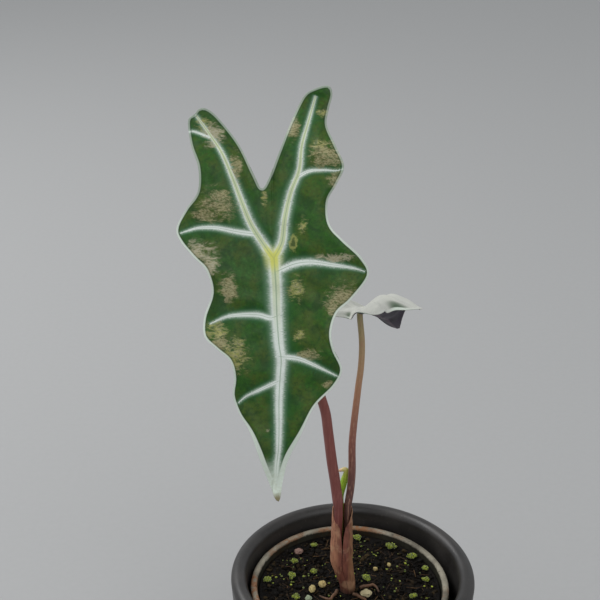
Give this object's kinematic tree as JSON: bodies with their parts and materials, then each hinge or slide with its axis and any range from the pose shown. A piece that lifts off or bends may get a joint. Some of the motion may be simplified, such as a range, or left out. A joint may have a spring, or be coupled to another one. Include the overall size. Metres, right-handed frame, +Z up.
{
  "type": "potted alocasia",
  "caption": "Potted arrow-leaf houseplant with white-veined leaves on slender petioles, in a grow pot standing in a round ceramic cover pot.",
  "frame": {"origin": "centre of the cover pot's flat underside", "axes": "+Z up along the pots' axis, the front leaf's face looks towards -Y"},
  "size_m": [0.1266, 0.1331, 0.318],
  "materials": {
    "ceramic_glaze": "satin charcoal glaze",
    "grow_pot_plastic": "stained grey polypropylene",
    "soil": "damp peat",
    "corm_skin": "dry brown skin",
    "dry_sheath": "papery pinkish brown",
    "petiole_skin": "smooth waxy stem skin",
    "young_leaf": "fresh green",
    "leaf_blade": "satin dark green with white veins",
    "root_skin": "dry root",
    "perlite": "chalky grain",
    "moss": "soft green moss"
  },
  "bodies": {
    "root": {"cover_pot": "ceramic_glaze", "grow_pot": "grow_pot_plastic", "potting_soil": "soil", "corm": "corm_skin", "stem_sheath": "dry_sheath", "petiole_front": "petiole_skin", "petiole_back": "petiole_skin", "new_leaf_spear": "young_leaf", "leaf_front": "leaf_blade", "leaf_back": "leaf_blade", "surface_root_1": "root_skin", "surface_root_2": "root_skin", "surface_root_3": "root_skin", "perlite_grain_1": "perlite", "perlite_grain_2": "perlite", "perlite_grain_3": "perlite", "perlite_grain_4": "perlite", "perlite_grain_5": "perlite", "perlite_grain_6": "perlite", "perlite_grain_7": "perlite", "perlite_grain_8": "perlite", "perlite_grain_9": "perlite", "moss_tuft_1": "moss", "moss_tuft_2": "moss", "moss_tuft_3": "moss", "moss_tuft_4": "moss", "moss_tuft_5": "moss", "moss_tuft_6": "moss", "moss_tuft_7": "moss", "moss_tuft_8": "moss", "moss_tuft_9": "moss", "moss_tuft_10": "moss", "moss_tuft_11": "moss", "moss_tuft_12": "moss", "moss_tuft_13": "moss", "moss_tuft_14": "moss", "moss_tuft_15": "moss"}
  },
  "joints": []
}
